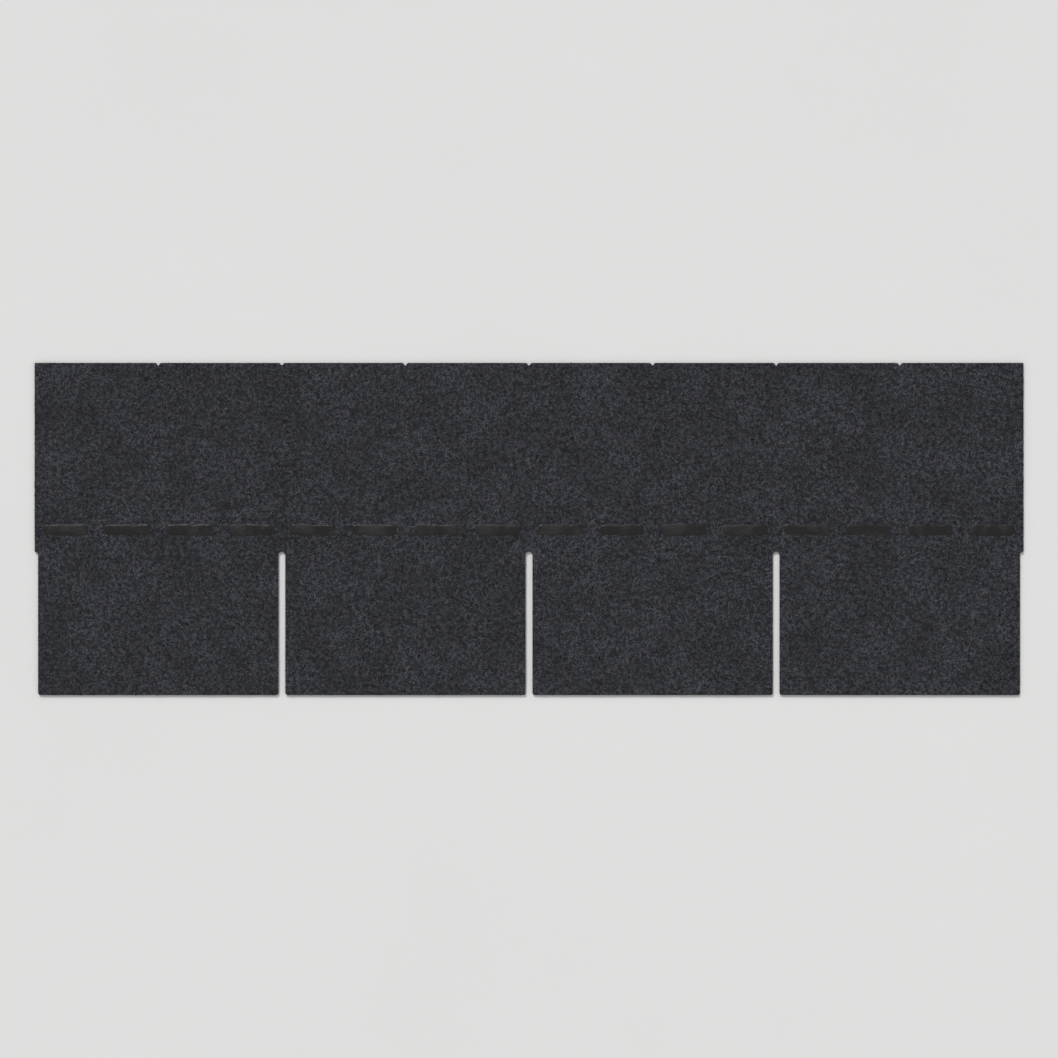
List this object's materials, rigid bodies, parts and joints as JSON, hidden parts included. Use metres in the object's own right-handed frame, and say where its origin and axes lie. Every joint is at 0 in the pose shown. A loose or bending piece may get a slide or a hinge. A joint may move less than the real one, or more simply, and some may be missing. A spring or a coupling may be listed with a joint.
{
  "type": "asphalt strip shingle",
  "caption": "Flat strip of granule-faced asphalt roofing with rectangular tabs, narrow cutouts and adhesive pads, nailed to a roof deck in overlapping courses.",
  "frame": {"origin": "the middle of the underside, on the surface that the shingle lies on", "axes": "+X runs along the strip, +Y from the butt edges of the tabs up the roof slope to the head edge, +Z out of the granule face"},
  "size_m": [1, 0.336, 0.0037],
  "materials": {
    "granule_facing": "matte",
    "seal_adhesive": "satin",
    "clear_film": "gloss"
  },
  "bodies": {
    "root": {"shingle_strip": "granule_facing", "seal_pads": "seal_adhesive", "release_film": "clear_film"}
  },
  "joints": []
}
